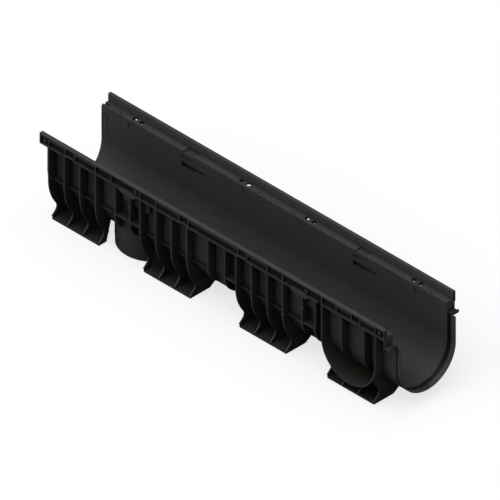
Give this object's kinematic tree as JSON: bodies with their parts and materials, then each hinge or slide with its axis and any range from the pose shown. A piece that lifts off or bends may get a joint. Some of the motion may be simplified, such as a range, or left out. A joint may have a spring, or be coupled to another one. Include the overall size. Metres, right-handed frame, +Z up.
{
  "type": "channel drain",
  "caption": "Moulded U-shaped drainage channel body with grating seats, ribbed flanks, feet, a bottom outlet stub, side branch collars and a socket end.",
  "frame": {"origin": "on the floor, below the middle of the whole length and width", "axes": "+X along the channel towards the socket end, +Z up"},
  "size_m": [1.026, 0.207, 0.208],
  "materials": {
    "black_polypropylene": "fine satin, injection-moulded polypropylene in near black"
  },
  "bodies": {
    "root": {"channel_body": "black_polypropylene"}
  },
  "joints": []
}
